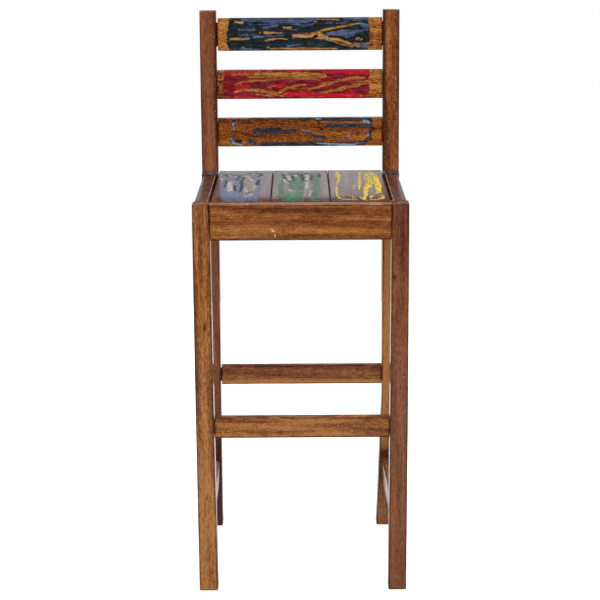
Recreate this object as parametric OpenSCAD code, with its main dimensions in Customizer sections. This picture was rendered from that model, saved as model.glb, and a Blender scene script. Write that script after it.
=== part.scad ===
// Bar stool with a slatted back and a footrest, in pegless mortise-and-tenon joinery.
// -Y is the front and +Z is up. Left (-X) and right (+X) are as seen from the front. The origin
// is on the floor, under the centre of the stool.

/* [Overall] */
// Width across the legs
overall_w = 403; // [390:1:430]
// Depth from the front of the front legs to the back of the post tops
overall_d = 404; // [396:1:440]
// Height of the post tops
overall_h = 1088; // [1070:1:1120]
// Height of the seat
seat_h = 760; // [740:1:770]

/* [Legs and posts] */
// Width of each leg and post, side to side
leg_w = 33.5; // [32:0.5:36]
// Depth of each front leg, front to back
leg_d = 40; // [40:1:46]
// Widening of the left front leg's inner face, from the apron down to the floor
left_leg_flare = 3; // [0:0.1:4]
// Widening of the right front leg's inner face, from the apron down to the floor
right_leg_flare = 1.7; // [0:0.1:4]
// Narrowing of each front leg's outer face, up to the seat
leg_top_taper = 1; // [0:0.1:2]
// Height where the outer faces start to narrow
leg_taper_start_h = 380; // [300:10:500]
// Depth of the ledge at seat height where each rear post is cut back
ledge_d = 16; // [10:1:20]
// Height of the ledge above the seat
ledge_rise = 1.5; // [0.5:0.5:4]
// Depth of each rear post above the ledge
post_d = 30; // [28:1:34]
// Distance each post top leans back from its ledge
rake = 10; // [4:1:16]
// Inward sweep of the right rear foot, from natural bow in the wood
right_foot_sweep = 10; // [0:1:14]
// Height where the sweep of the right rear foot starts
sweep_start_h = 290; // [200:5:300]
// Taper of the left rear leg's inner face at the floor
left_foot_taper = 3; // [0:1:5]

/* [Seat] */
// Height of the front apron and the side rails
apron_h = 68; // [60:1:75]
// Thickness of the front apron
apron_t = 27; // [24:1:28]
// Thickness of each side rail
rail_t = 26; // [22:1:27]
// Height of the rear apron, which carries the planks
rear_apron_h = 60; // [50:1:65]
// Thickness of the rear apron
rear_apron_t = 24; // [22:1:26]
// Thickness of the seat planks
plank_t = 20; // [18:1:22]
// Gap between neighbouring seat planks
plank_gap = 0.5; // [0.5:0.5:4]
// Gap between the front apron and the planks' front ends
plank_front_gap = 2.5; // [1:0.5:5]
// Height of each cleat under the planks
cleat_h = 20; // [18:1:24]
// Width of each cleat, front to back
cleat_w = 22; // [20:1:24]

/* [Back slats] */
// Height of the top slat
slat_top_h = 66; // [60:1:72]
// Height of the middle and the bottom slat
slat_h = 59; // [52:1:62]
// Thickness of the slats
slat_t = 16; // [14:1:18]
// Distance from the post tops down to the top slat
slat_drop = 15; // [12:1:24]
// Gap between neighbouring slats
slat_gap = 38; // [34:1:40]
// Distance the slats sit behind the posts' front faces
slat_setback = 6; // [4:1:8]

/* [Stretchers] */
// Height of the footrest and the other stretchers, as a section
bar_h = 41; // [36:1:44]
// Thickness of the footrest
footrest_t = 20; // [18:1:22]
// Thickness of the rear stretcher
rear_bar_t = 18; // [16:1:20]
// Thickness of the side stretchers
side_bar_t = 20; // [18:1:22]
// Height of the footrest's lower edge above the floor
footrest_z = 308; // [300:1:330]
// Height of the rear stretcher's lower edge above the floor
rear_bar_z = 313; // [305:1:335]
// Height of the side stretchers' lower edge above the floor
side_bar_z = 106; // [90:1:140]
// Angle that the right side stretcher turns in, to meet the swept rear foot
right_bar_turn = 1.5; // [0:0.1:1.5]
// Distance the right side stretcher's front end sits outward of its leg's middle
right_bar_shift = 1.9; // [0:0.1:3]

/* [Joints] */
// Length of the tenons that enter a post from the side
tenon_l = 22; // [18:1:24]
// Length of the tenons that enter a leg from the front or back
rail_tenon_l = 17; // [14:1:18]
// Thickness of the tenons
tenon_t = 10; // [8:1:10]
// Clearance between a tenon's cheek and its mortise
cheek_gap = 0.15; // [0.1:0.05:0.3]
// Open line left at the shoulders of the aprons and stretchers
shoulder_gap = 0.5; // [0.5:0.5:4]
// Diameter of the screws
screw_d = 4; // [3.5:0.5:4.5]

/* [Hidden] */

$fn = 48;
teak = [0.55, 0.33, 0.17];
raw_wood = [0.66, 0.50, 0.33];
steel = [0.70, 0.70, 0.72];

// Faces that the members share
front_y = -overall_d / 2;
leg_back_y = front_y + leg_d;
post_y = overall_d / 2 - rake - post_d - ledge_d;
post_back_y = post_y + ledge_d + post_d;
outer_x = overall_w / 2;
inner_x = outer_x - leg_w;
ledge_z = seat_h + ledge_rise;
rake_angle = atan(rake / (overall_h - ledge_z));

// Seat frame
apron_setback = 1;
apron_back_y = front_y + apron_setback + apron_t;
rail_inset = 3.5;
rail_x = outer_x - rail_inset - rail_t / 2;
rear_apron_y = post_back_y - rear_apron_t - 3;
plank_z = seat_h - plank_t;
rail_z = seat_h - apron_h;

// Planks
plank_side_gap = 1;
plank_overhang = 4;
plank_front_y = apron_back_y + plank_front_gap;
plank_back_y = post_back_y + plank_overhang;
plank_w = (2 * (inner_x - plank_side_gap) - 2 * plank_gap) / 3;
plank_pitch = plank_w + plank_gap;

// Slats
snug_gap = 0.5;
top_slat_gap = [2.5, 1];
slat_tenon_t = 8;

// Tenon shoulders, mortise bottoms and stretcher setbacks
shoulder = 9;
bar_shoulder = 7;
mortise_extra = 2;
bar_setback = 6;
past = 1;

// Screws
screw_hole_gap = 0.2;
screw_head_d = 8;
screw_head_h = 2.4;
screw_bite = 12;
plank_screw_x = 28;
cleat_inset = 8;

// Box between two opposite corners
module block(low, high) {
    translate(low)
        cube(high - low);
}

// Post's front face at a height above the ledge
function post_face_y(z) = post_y + ledge_d + rake * (z - ledge_z) / (overall_h - ledge_z);

// Heights of slat i, counted down from the top, and its reach on a side: -1 left, 1 right
function slat_height(i) = i == 0 ? slat_top_h : slat_h;
function slat_low(i) = i == 0 ? overall_h - slat_drop - slat_top_h
                              : slat_low(i - 1) - slat_gap - slat_h;
function slat_reach(i, side) = inner_x - (i > 0 ? snug_gap : top_slat_gap[side < 0 ? 0 : 1]);

// Widening of a front leg's inner face at a height, and the footrest's reach on a side
function leg_flare(side, z) = (side > 0 ? right_leg_flare : left_leg_flare) * (1 - z / rail_z);
function footrest_reach(side) = inner_x - leg_flare(side, footrest_z) - shoulder_gap;

// A bar along X with a tenon at each end, centred on y and standing on z = 0
module cross_bar(left, right, t, h, tenon_h) {
    block([-left, -t / 2, 0], [right, t / 2, h]);
    cross_tenons(inner_x + tenon_l, tenon_t, h, tenon_h);
}

// The tenons alone, as one long tongue, and the space that their mortises need
module cross_tenons(reach, t, h, tenon_h) {
    low = (h - tenon_h) / 2;
    block([-reach, -t / 2, low], [reach, t / 2, low + tenon_h]);
}

module cross_mortises(t, h, tenon_h) {
    cross_tenons(inner_x + tenon_l + mortise_extra, t + 2 * cheek_gap, h, tenon_h);
}

// A bar along Y between a front leg and a rear post, centred on x and standing on z = 0
module side_bar(t, h, tenon_h) {
    block([-t / 2, leg_back_y + snug_gap, 0], [t / 2, post_y - snug_gap, h]);
    side_tenons(rail_tenon_l, tenon_t, h, tenon_h);
}

module side_tenons(reach, t, h, tenon_h) {
    low = (h - tenon_h) / 2;
    block([-t / 2, leg_back_y - reach, low], [t / 2, post_y + reach, low + tenon_h]);
}

module side_mortises(t, h, tenon_h) {
    side_tenons(rail_tenon_l + mortise_extra / 2, t + 2 * cheek_gap, h, tenon_h);
}

// Places of the members: each module moves its children there
module at_front_apron() {
    translate([0, front_y + apron_setback + apron_t / 2, rail_z])
        children();
}

module at_rear_apron() {
    translate([0, rear_apron_y + rear_apron_t / 2, plank_z - rear_apron_h])
        children();
}

module at_footrest() {
    translate([0, front_y + bar_setback + footrest_t / 2, footrest_z])
        children();
}

module at_rear_stretcher() {
    translate([0, post_y + bar_setback + rear_bar_t / 2, rear_bar_z])
        children();
}

module at_side_rail(side) {
    translate([side * rail_x, 0, rail_z])
        children();
}

module at_side_stretcher(side) {
    turn = side > 0 ? right_bar_turn : 0;
    shift = side > 0 ? right_bar_shift : 0;
    translate([side * (outer_x - leg_w / 2) + shift, leg_back_y, side_bar_z])
        rotate([0, 0, turn])
            translate([0, -leg_back_y, 0])
                children();
}

module at_slat(i) {
    mid_z = slat_low(i) + slat_height(i) / 2;
    translate([0, post_face_y(mid_z) + slat_setback + slat_t / 2, mid_z])
        rotate([-rake_angle, 0, 0])
            translate([0, 0, -slat_height(i) / 2])
                children();
}

// Mortises of everything that enters the legs from the side, front pair and rear pair
module front_cross_mortises() {
    at_front_apron()
        cross_mortises(tenon_t, apron_h, apron_h - 2 * shoulder);
    at_footrest()
        cross_mortises(tenon_t, bar_h, bar_h - 2 * bar_shoulder);
}

module rear_cross_mortises() {
    at_rear_apron()
        cross_mortises(tenon_t, rear_apron_h, rear_apron_h - 2 * shoulder);
    at_rear_stretcher()
        cross_mortises(tenon_t, bar_h, bar_h - 2 * bar_shoulder);
    for (i = [0:2])
        at_slat(i)
            cross_mortises(slat_tenon_t, slat_height(i), slat_height(i) - 2 * shoulder);
}

module side_member_mortises(side) {
    at_side_rail(side)
        side_mortises(tenon_t, apron_h, apron_h - 2 * shoulder);
    at_side_stretcher(side)
        side_mortises(tenon_t, bar_h, bar_h - 2 * bar_shoulder);
}

// Front view of a front leg: a little wider at the floor than at the seat
module front_leg_view(side) {
    polygon([[side * (inner_x - leg_flare(side, 0)), 0], [side * outer_x, 0],
             [side * outer_x, leg_taper_start_h], [side * (outer_x - leg_top_taper), seat_h],
             [side * inner_x, seat_h], [side * inner_x, rail_z]]);
}

// Front leg on one side: -1 left, 1 right
module front_leg(side) {
    color(teak)
        difference() {
            translate([0, leg_back_y, 0])
                rotate([90, 0, 0])
                    linear_extrude(leg_d)
                        front_leg_view(side);
            front_cross_mortises();
            side_member_mortises(side);
        }
}

// Side view of a rear post: upright below the seat, cut back and raked above it
module post_profile() {
    polygon([[post_y, 0], [post_back_y, 0], [post_back_y, seat_h],
             [post_back_y + rake, overall_h], [post_back_y + rake - post_d, overall_h],
             [post_y + ledge_d, ledge_z], [post_y, ledge_z]]);
}

// Front view of a rear post: straight, with its foot moved or narrowed
module post_front_view(side) {
    foot_in = side > 0 ? inner_x - right_foot_sweep : -inner_x - left_foot_taper;
    foot_out = side > 0 ? outer_x - right_foot_sweep : -outer_x;
    bend_z = side > 0 ? sweep_start_h : seat_h;
    polygon([[foot_in, 0], [foot_out, 0], [side * outer_x, bend_z],
             [side * outer_x, overall_h], [side * inner_x, overall_h],
             [side * inner_x, bend_z]]);
}

module rear_post(side) {
    color(teak)
        difference() {
            intersection() {
                translate([-overall_w, 0, 0])
                    rotate([90, 0, 90])
                        linear_extrude(2 * overall_w)
                            post_profile();
                translate([0, overall_d, 0])
                    rotate([90, 0, 0])
                        linear_extrude(2 * overall_d)
                            post_front_view(side);
            }
            rear_cross_mortises();
            side_member_mortises(side);
        }
}

module front_leg_left() {
    front_leg(-1);
}

module front_leg_right() {
    front_leg(1);
}

module rear_post_left() {
    rear_post(-1);
}

module rear_post_right() {
    rear_post(1);
}

// Aprons, with blind holes for the screws that hold their cleats
module front_apron() {
    color(teak)
        difference() {
            at_front_apron()
                cross_bar(inner_x - shoulder_gap, inner_x - shoulder_gap, apron_t, apron_h,
                          apron_h - 2 * shoulder);
            front_cleat_screws(screw_hole_gap);
        }
}

module rear_apron() {
    color(teak)
        difference() {
            at_rear_apron()
                cross_bar(inner_x - snug_gap, inner_x - snug_gap, rear_apron_t, rear_apron_h,
                          rear_apron_h - 2 * shoulder);
            rear_cleat_screws(screw_hole_gap);
        }
}

module side_rail(side) {
    color(teak)
        at_side_rail(side)
            side_bar(rail_t, apron_h, apron_h - 2 * shoulder);
}

module side_rail_left() {
    side_rail(-1);
}

module side_rail_right() {
    side_rail(1);
}

// Seat plank i: -1 left, 0 middle, 1 right
module seat_plank(i) {
    mid_x = i * plank_pitch;
    difference() {
        block([mid_x - plank_w / 2, plank_front_y, plank_z],
              [mid_x + plank_w / 2, plank_back_y, seat_h]);
        plank_screw_set(screw_hole_gap);
    }
}

module seat_plank_left() {
    color("slategray")
        seat_plank(-1);
}

module seat_plank_middle() {
    color("seagreen")
        seat_plank(0);
}

module seat_plank_right() {
    color("gold")
        seat_plank(1);
}

module back_slat(i) {
    at_slat(i) {
        block([-slat_reach(i, -1), -slat_t / 2, 0], [slat_reach(i, 1), slat_t / 2, slat_height(i)]);
        cross_tenons(inner_x + tenon_l, slat_tenon_t, slat_height(i),
                     slat_height(i) - 2 * shoulder);
    }
}

module back_slat_top() {
    color("darkslategray")
        back_slat(0);
}

module back_slat_middle() {
    color("crimson")
        back_slat(1);
}

module back_slat_bottom() {
    color("peru")
        back_slat(2);
}

module footrest_front() {
    color(teak)
        at_footrest()
            cross_bar(footrest_reach(-1), footrest_reach(1), footrest_t, bar_h,
                      bar_h - 2 * bar_shoulder);
}

module rear_stretcher() {
    color(teak)
        at_rear_stretcher()
            cross_bar(inner_x - shoulder_gap, inner_x - shoulder_gap, rear_bar_t, bar_h,
                      bar_h - 2 * bar_shoulder);
}

module side_stretcher(side) {
    color(teak)
        at_side_stretcher(side)
            side_bar(side_bar_t, bar_h, bar_h - 2 * bar_shoulder);
}

module side_stretcher_left() {
    side_stretcher(-1);
}

module side_stretcher_right() {
    side_stretcher(1);
}

// Cleat under the planks, with its low Y face at y
module cleat(y) {
    half = inner_x - cleat_inset;
    block([-half, y, plank_z - cleat_h], [half, y + cleat_w, plank_z]);
}

module front_cleat() {
    color(raw_wood)
        difference() {
            cleat(apron_back_y);
            plank_screw_set(screw_hole_gap);
            front_cleat_screws(screw_hole_gap);
        }
}

module rear_cleat() {
    color(raw_wood)
        difference() {
            cleat(rear_apron_y - cleat_w);
            plank_screw_set(screw_hole_gap);
            rear_cleat_screws(screw_hole_gap);
        }
}

// Countersunk screw along +Z with its head's face at z = 0; gap widens it into its own hole
module screw(length, gap) {
    tip = screw_d;
    r = (screw_d + gap) / 2;
    head_r = (screw_head_d + gap) / 2;
    translate([0, 0, -gap])
        cylinder(h = screw_head_h + gap, r1 = head_r, r2 = r);
    cylinder(h = length - tip + gap, r = r);
    translate([0, 0, length - tip + gap])
        cylinder(h = tip, r1 = r, r2 = r / 4);
}

// Two screws into each plank from each cleat
module plank_screw_set(gap) {
    for (y = [apron_back_y + cleat_w / 2, rear_apron_y - cleat_w / 2])
        for (i = [-1:1])
            for (side = [-1, 1])
                translate([i * plank_pitch + side * plank_screw_x, y, plank_z - cleat_h])
                    screw(cleat_h + screw_bite, gap);
}

// Three screws from each cleat into its apron
module front_cleat_screws(gap) {
    for (i = [-1:1])
        translate([i * plank_pitch, apron_back_y + cleat_w, plank_z - cleat_h / 2])
            rotate([90, 0, 0])
                screw(cleat_w + screw_bite, gap);
}

module rear_cleat_screws(gap) {
    for (i = [-1:1])
        translate([i * plank_pitch, rear_apron_y - cleat_w, plank_z - cleat_h / 2])
            rotate([-90, 0, 0])
                screw(cleat_w + screw_bite, gap);
}

module plank_screws() {
    color(steel)
        plank_screw_set(0);
}

module cleat_screws() {
    color(steel) {
        front_cleat_screws(0);
        rear_cleat_screws(0);
    }
}

front_leg_left();
front_leg_right();
rear_post_left();
rear_post_right();
front_apron();
rear_apron();
side_rail_left();
side_rail_right();
seat_plank_left();
seat_plank_middle();
seat_plank_right();
back_slat_top();
back_slat_middle();
back_slat_bottom();
footrest_front();
rear_stretcher();
side_stretcher_left();
side_stretcher_right();
front_cleat();
rear_cleat();
plank_screws();
cleat_screws();
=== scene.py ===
"""Looks of the bar stool: lacquered teak frame, worn painted slats and seat planks.

Every wooden piece is a fine swept mesh in the place of its CAD node. Paint and wear are
fields on the meshes, laid out from short lists of strokes, and the materials read them.
"""

import math

import bmesh
import bpy
import numpy as np
from mathutils import Matrix, Vector


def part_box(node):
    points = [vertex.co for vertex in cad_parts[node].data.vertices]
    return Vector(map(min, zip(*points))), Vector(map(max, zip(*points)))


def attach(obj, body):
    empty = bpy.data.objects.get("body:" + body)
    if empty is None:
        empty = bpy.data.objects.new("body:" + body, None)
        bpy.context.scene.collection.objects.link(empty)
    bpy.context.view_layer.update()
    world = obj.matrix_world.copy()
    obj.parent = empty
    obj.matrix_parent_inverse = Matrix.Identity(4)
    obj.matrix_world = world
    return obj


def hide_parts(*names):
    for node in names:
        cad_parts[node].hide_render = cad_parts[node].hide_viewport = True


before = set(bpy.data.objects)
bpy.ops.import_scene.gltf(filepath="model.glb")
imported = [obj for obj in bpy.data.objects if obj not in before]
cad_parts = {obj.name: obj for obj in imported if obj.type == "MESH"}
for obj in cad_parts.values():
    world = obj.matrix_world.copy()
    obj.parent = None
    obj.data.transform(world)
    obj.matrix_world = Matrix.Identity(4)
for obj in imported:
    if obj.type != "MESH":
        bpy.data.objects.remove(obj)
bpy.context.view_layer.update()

MM = 0.001
X, Y, Z = np.eye(3)

# Joints: gaps at the shoulders (the top slat's left and right), tenons and their shoulders
TOP_SLAT_GAPS = (2.5 * MM, 1.0 * MM)
SNUG_GAP = 0.15 * MM
TENON_T = 10 * MM
SLAT_TENON_T = 8 * MM
SIDE_TENON = 17 * MM
SHOULDER = 9 * MM
BAR_SHOULDER = 7 * MM

# Members: thickness, and what the CAD boxes don't show of their place
RAIL_T = 26 * MM
RAIL_INSET = 3.5 * MM
SIDE_BAR_T = 20 * MM
SLAT_T = 16 * MM
RIGHT_BAR_TURN = math.radians(1.5)
RIGHT_BAR_SHIFT = 1.9 * MM

# Rear posts: ledge at the seat, lean above it, and how their feet sweep and taper
LEDGE_D = 16 * MM
LEDGE_RISE = 1.5 * MM
POST_D = 30 * MM
POST_MIDDLE = 23 * MM
RAKE = 10 * MM
FOOT_SWEEP = 10 * MM
SWEEP_START = 290 * MM
FOOT_TAPER = 3 * MM

# Front legs: the widening at the floor by side, -1 left and 1 right, and the outer face
LEG_W = 33.5 * MM
LEG_FLARE = {-1: 3.0 * MM, 1: 1.7 * MM}
LEG_TOP_TAPER = 1.0 * MM
LEG_TAPER_START = 380 * MM
LEG_BOW = 0.7 * MM

# Looks: painted shade at the ends, tight shoulders, planks that nearly touch, and the edge of the paint
END_SHADE = 2.5 * MM
CLOSE_END = 0.35 * MM
PLANK_SWELL = 0.33 * MM
PAINT_REACH = 2.5
SHARP_ANGLE = math.radians(42)
FLOOR_RADIUS = 2.2
WHITE = (1, 1, 1, 1)

# Camera: metres, radians, and millimetres of lens and sensor
CAMERA_PLACE = (0.0017, -3.2585, 1.3113)
CAMERA_PITCH = 0.23499
CAMERA_YAW = -0.00124
CAMERA_ROLL = -0.00642
CAMERA_LENS = 101.26
SENSOR_WIDTH = 36


# ---------------------------------------------------------------- small maths

def smooth(t):
    """Smooth step of t, from 0 at t = 0 to 1 at t = 1."""
    t = np.clip(t, 0, 1)
    return t * t * (3 - 2 * t)


def lattice(cell, seed):
    """Repeatable random value from 0 to 1 for each whole-number cell."""
    h = (cell[:, 0] * 374761393 + cell[:, 1] * 668265263 + cell[:, 2] * 2147483647
         + seed * 1274126177) & 0xFFFFFFFF
    h = ((h ^ (h >> 13)) * 1274126177) & 0xFFFFFFFF
    return ((h ^ (h >> 16)) & 0xFFFFFF) / float(0xFFFFFF)


def noise(points, seed, octaves=1):
    """Value noise from -1 to 1 at an array of points, one unit to a cell."""
    total = np.zeros(len(points))
    size = 0.0
    for octave in range(octaves):
        p = points * 2 ** octave + 17.3 * octave
        base = np.floor(p).astype(np.int64)
        f = smooth(p - base)
        value = np.zeros(len(points))
        for corner in range(8):
            bits = np.array([corner & 1, corner >> 1 & 1, corner >> 2 & 1])
            weight = np.prod(np.where(bits, f, 1 - f), axis=1)
            value += weight * lattice(base + bits, seed + octave)
        total += (2 * value - 1) / 2 ** octave
        size += 1 / 2 ** octave
    return total / size


# ---------------------------------------------------------------- swept boards

class Board:
    """A wooden bar with its grain along s, its width along a and its thickness along b.

    Its section may change along s: a0, a1, b0 and b1 are functions of s, in metres.
    """

    def __init__(self, origin, s_axis, a_axis, b_axis, length, a0, a1, b0, b1):
        self.origin = np.array(origin, float)
        self.axes = np.array([s_axis, a_axis, b_axis], float)
        self.length = length
        self.limits = [v if callable(v) else (lambda s, v=v: v) for v in (a0, a1, b0, b1)]

    def section(self, s):
        return [limit(s) for limit in self.limits]


def ring(section, counts, radius):
    """Points of a rounded rectangle as (a, b), and how near each is to an arris, 0 to 1."""
    a0, a1, b0, b1 = section
    n_top, n_side, n_bottom, n_corner = counts
    corners = [(a1 - radius, b1 - radius, 0), (a0 + radius, b1 - radius, 90),
               (a0 + radius, b0 + radius, 180), (a1 - radius, b0 + radius, 270)]
    points, arris = [], []
    for k, (ca, cb, start) in enumerate(corners):
        for j in range(n_corner + 1):
            angle = math.radians(start + 90 * j / n_corner)
            points.append((ca + radius * math.cos(angle), cb + radius * math.sin(angle)))
            arris.append(1.0)
        na, nb, _ = corners[(k + 1) % 4]
        ea, eb = math.cos(angle) * radius, math.sin(angle) * radius
        steps = (n_top, n_side, n_bottom, n_side)[k]
        for j in range(1, steps):
            t = j / steps
            points.append((ca + ea + (na - ca) * t, cb + eb + (nb - cb) * t))
            arris.append(0.0)
    return np.array(points), np.array(arris)


def stations(board, step, end_radius, extra=()):
    """(s, inset) of each ring: rounded over at both ends and even in between."""
    turns = [math.radians(a) for a in (0, 30, 60, 90)]
    start = [(end_radius * (1 - math.cos(t)), end_radius * (1 - math.sin(t))) for t in turns]
    count = max(2, int(round((board.length - 2 * end_radius) / step)))
    inner = [end_radius + (board.length - 2 * end_radius) * i / count
             for i in range(1, count)]
    inner = sorted([s for s in inner if all(abs(s - e) > 0.4 * step for e in extra)]
                   + list(extra))
    end = [(board.length - s, inset) for s, inset in start[::-1]]
    return start + [(s, 0.0) for s in inner] + end


def build(name, board, step, counts, radius, end_radius, extra=()):
    """The board's closed mesh, its points as rows of (s, a, b), and their nearness to an arris."""
    rows, local, arris = stations(board, step, end_radius, extra), [], []
    for s, inset in rows:
        a0, a1, b0, b1 = board.section(s)
        section = (a0 + inset, a1 - inset, b0 + inset, b1 - inset)
        points, near = ring(section, counts, max(radius - inset, 0.25 * radius))
        local.append(np.column_stack([np.full(len(points), s), points]))
        arris.append(np.maximum(near, min(1.0, inset / end_radius * 2)))
    width = len(local[0])
    faces = []
    for i in range(len(rows) - 1):
        for j in range(width):
            k = (j + 1) % width
            faces.append((i * width + j, i * width + k, (i + 1) * width + k,
                          (i + 1) * width + j))
    # End grain: rings that shrink to the middle of each end
    vertex_count = len(rows) * width
    for end, flip in ((0, True), (len(rows) - 1, False)):
        outer = np.arange(width) + end * width
        middle = local[end].mean(axis=0)
        for share in (0.72, 0.4, 0.12):
            inner = middle + (local[end] - middle) * share
            local.append(inner)
            arris.append(np.zeros(width))
            ids = np.arange(width) + vertex_count
            vertex_count += width
            for j in range(width):
                k = (j + 1) % width
                quad = (outer[j], outer[k], ids[k], ids[j])
                faces.append(quad[::-1] if flip else quad)
            outer = ids
        faces.append(tuple(outer[::-1]) if flip else tuple(outer))
    local = np.concatenate(local)
    mesh = bpy.data.meshes.new(name)
    world = board.origin + local @ board.axes
    mesh.from_pydata(world.tolist(), [], [tuple(int(v) for v in f) for f in faces])
    mesh.update()
    work = bmesh.new()
    work.from_mesh(mesh)
    bmesh.ops.recalc_face_normals(work, faces=work.faces)
    work.to_mesh(mesh)
    work.free()
    mesh.polygons.foreach_set("use_smooth", np.ones(len(mesh.polygons), bool))
    mesh.set_sharp_from_angle(angle=SHARP_ANGLE)
    piece = bpy.data.objects.new(name, mesh)
    bpy.context.scene.collection.objects.link(piece)
    return piece, local, np.concatenate(arris)


def put(piece, name, values):
    """Stores a field on the mesh for the materials to read."""
    values = np.asarray(values, np.float32)
    kind = "FLOAT" if values.ndim == 1 else "FLOAT_VECTOR"
    attribute = piece.data.attributes.new(name, kind, "POINT")
    attribute.data.foreach_set("value" if kind == "FLOAT" else "vector", values.ravel())


def sink(piece, depth):
    """Moves each vertex inwards along its normal by its depth, in metres."""
    mesh = piece.data
    count = len(mesh.vertices)
    co = np.zeros(count * 3)
    normal = np.zeros(count * 3)
    mesh.vertices.foreach_get("co", co)
    mesh.vertex_normals.foreach_get("vector", normal)
    co = co.reshape(-1, 3) - normal.reshape(-1, 3) * depth[:, None]
    mesh.vertices.foreach_set("co", co.ravel())
    mesh.update()


def blobs(local, spots):
    """Sum of soft spots (s, a, reach along s, reach along a, strength), in metres."""
    total = np.zeros(len(local))
    for s, a, reach_s, reach_a, strength in spots:
        d2 = ((local[:, 0] - s) / reach_s) ** 2 + ((local[:, 1] - a) / reach_a) ** 2
        total += strength * np.exp(-d2)
    return total


def finish_board(piece, board, local, arris, seed, tone=(), wear=0.5 * MM, shade=None):
    """Hand-planed waviness, worn arrises and the fields that the wood reads, painted shade among them."""
    along = local * np.array([12.0, 30.0, 30.0])
    wave = 0.12 * MM * (1 + noise(along + seed, seed, 2))
    rub = wear * arris * (0.5 + 0.5 * noise(local * np.array([35, 60, 60]) + seed, seed + 5, 2))
    sink(piece, wave + rub)
    put(piece, "grain", local + np.array([3.1 * seed, 0, 0]))
    # Painted shade: the shade callback darkens faces where shade falls, and the last END_SHADE of each end
    # darkens as shade in its joint.
    to_end = np.minimum(local[:, 0], board.length - local[:, 0])
    painted_shade_and_dull = shade(local) if shade else np.zeros(len(local))
    put(piece, "painted_shade_and_dull", painted_shade_and_dull)
    put(piece, "arris", np.maximum.reduce([arris, smooth(1 - to_end / END_SHADE), painted_shade_and_dull]))
    put(piece, "tone", blobs(local, tone))


# ---------------------------------------------------------------- paint

def stroke_field(x, y, points, width_start, width_end):
    """Distance in mm inside a stroke's edge, below 0 outside it."""
    best = np.full(len(x), -99.0)
    count = max(len(points) - 1, 1)
    for i in range(count):
        p = np.array(points[i], float)
        d = np.array(points[min(i + 1, len(points) - 1)], float) - p
        t = np.clip(((x - p[0]) * d[0] + (y - p[1]) * d[1]) / max(d @ d, 1e-9), 0, 1)
        distance = np.hypot(x - p[0] - t * d[0], y - p[1] - t * d[1])
        half = 0.5 * (width_start + (width_end - width_start) * (i + t) / count)
        best = np.maximum(best, half - distance)
    return best


def strokes(x, y, rows):
    """Union of strokes, each (width at start, width at end, point, point, ...) in mm."""
    field = np.full(len(x), -99.0)
    for row in rows:
        field = np.maximum(field, stroke_field(x, y, row[2:], row[0], row[1]))
    return field


def between(x, y, left, right):
    """Distance in mm inside a patch whose sides run through the (x, y) points given."""
    def side(line):
        line = sorted(line, key=lambda point: point[1])
        return np.interp(y, [p[1] for p in line], [p[0] for p in line])
    low = max(min(p[1] for p in line) for line in (left, right))
    high = min(max(p[1] for p in line) for line in (left, right))
    across = np.minimum(x - side(left), side(right) - x)
    return np.minimum(across, np.minimum(y - low, high - y))


def warped(x, y, seed, along, across):
    """The same places moved about a little, so that strokes come out hand-made."""
    places = np.column_stack([x / 16, y / 7, np.zeros(len(x))])
    fine = np.column_stack([x / 5, y / 2.2, np.zeros(len(x))])
    dx = along * (noise(places, seed, 2) + 0.5 * noise(fine, seed + 3, 2))
    dy = across * (noise(places, seed + 7, 2) + 0.4 * noise(fine, seed + 9, 2))
    return x + dx, y + dy


def put_paint(piece, fields):
    """Stores paint fields in mm, softened to run from -1 to 1 over their reach each way."""
    for name, values in fields.items():
        put(piece, name, np.clip(values / PAINT_REACH, -1, 1))


# ---------------------------------------------------------------- materials

def srgb(r, g, b):
    """Linear colour from 0-255 display values."""
    def linear(v):
        v /= 255
        return v / 12.92 if v <= 0.04045 else ((v + 0.055) / 1.055) ** 2.4
    return (linear(r), linear(g), linear(b), 1.0)


# Palettes of wood: dark, middle and light
TEAK = (srgb(84, 36, 14), srgb(148, 84, 40), srgb(202, 136, 70))
TEAK_RED = (srgb(72, 28, 16), srgb(132, 74, 46), srgb(174, 108, 66))
# The plank wood is greyed towards lilac: its own colour with a painted sheen of the bright surroundings.
PLANK_WOOD = (srgb(60, 26, 18), srgb(88, 66, 64), srgb(134, 112, 112))
BARE = (srgb(86, 32, 8), srgb(178, 104, 34), srgb(220, 160, 84))
BARE_RED = (srgb(74, 30, 10), srgb(152, 78, 16), srgb(196, 118, 44))
RAW = (srgb(110, 78, 50), srgb(168, 128, 88), srgb(200, 160, 115))

# Chips and painted glints, darker lacquer on arrises with painted shade, a painted sheen on the ledges, and
# the rims and edges of paint, the edges with painted shade
CHIP_AND_GLINT = srgb(232, 206, 176)
DARK_LACQUER_AND_SHADE = srgb(58, 22, 12)
LEDGE_SHEEN = (srgb(46, 42, 48), srgb(118, 116, 124))
PAINT_RIM = srgb(48, 24, 14)
DARK_EDGE_AND_SHADE = srgb(40, 20, 18)
CRISP = 0.2


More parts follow.
